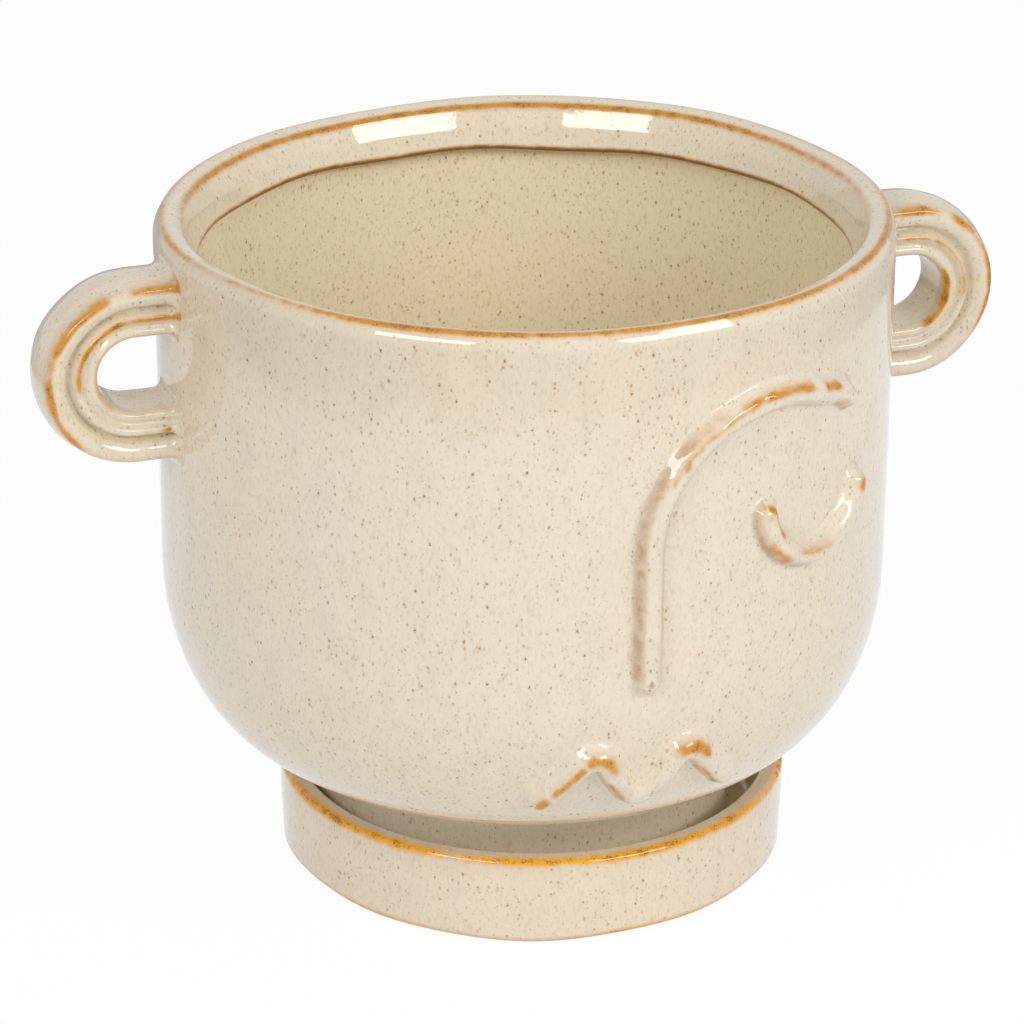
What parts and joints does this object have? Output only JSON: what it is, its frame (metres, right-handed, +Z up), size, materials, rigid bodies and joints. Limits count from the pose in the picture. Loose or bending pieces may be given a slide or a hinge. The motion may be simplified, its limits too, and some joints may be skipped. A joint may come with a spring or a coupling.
{
  "type": "face planter",
  "caption": "Round glazed ceramic planter with a raised line-drawn face, grooved ear handles and a drain hole, standing in a loose drip saucer that it lifts out of.",
  "frame": {"origin": "on the table under the pot's axis, in the plane of the saucer's underside", "axes": "+Z up, the face looks along -Y, +X is on the right of someone who looks at the face, the handles stand along X"},
  "size_m": [0.232, 0.1725, 0.159],
  "materials": {
    "saucer_glaze": "glossy cream glaze with fine iron specks, amber where it thins on the rim",
    "pot_glaze": "glossy cream glaze with fine iron specks, amber where it thins on the rim",
    "handle_glaze": "glossy cream glaze, amber along the crests",
    "relief_glaze": "glossy cream glaze, amber and pink where it thins on the raised lines"
  },
  "bodies": {
    "saucer": {"saucer": "saucer_glaze"},
    "pot": {"pot_body": "pot_glaze", "left_ear_handle": "handle_glaze", "right_ear_handle": "handle_glaze", "nose_brow_relief": "relief_glaze", "closed_eye_relief": "relief_glaze", "lips_relief": "relief_glaze"}
  },
  "joints": [
    {"name": "pot_lift", "type": "slide", "parent": "saucer", "child": "pot", "axis": [0, 0, 1], "range_m": [0, 0.06]}
  ]
}
